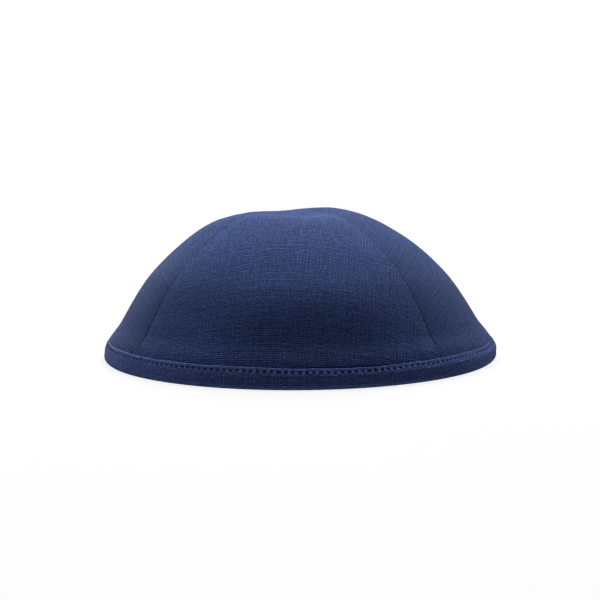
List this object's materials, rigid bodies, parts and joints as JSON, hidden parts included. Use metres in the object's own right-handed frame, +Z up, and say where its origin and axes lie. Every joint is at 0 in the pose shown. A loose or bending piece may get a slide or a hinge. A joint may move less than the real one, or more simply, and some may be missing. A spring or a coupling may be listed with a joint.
{
  "type": "kippah skullcap",
  "caption": "Shallow domed linen skullcap sewn from curved crown panels, with a folded and topstitched rim band, resting on its rim.",
  "frame": {"origin": "centre of the rim on the surface that the cap rests on", "axes": "+Z up through the crown, -Y the front of the cap, +X its right as seen from the front"},
  "size_m": [0.17, 0.17, 0.0637],
  "materials": {
    "linen_crown": "navy plain-weave linen, matt with a faint sheen",
    "linen_band": "the same navy linen folded over the rim, topstitched in navy thread"
  },
  "bodies": {
    "root": {"crown_panel_front": "linen_crown", "crown_panel_right": "linen_crown", "crown_panel_back": "linen_crown", "crown_panel_left": "linen_crown", "rim_band": "linen_band"}
  },
  "joints": []
}
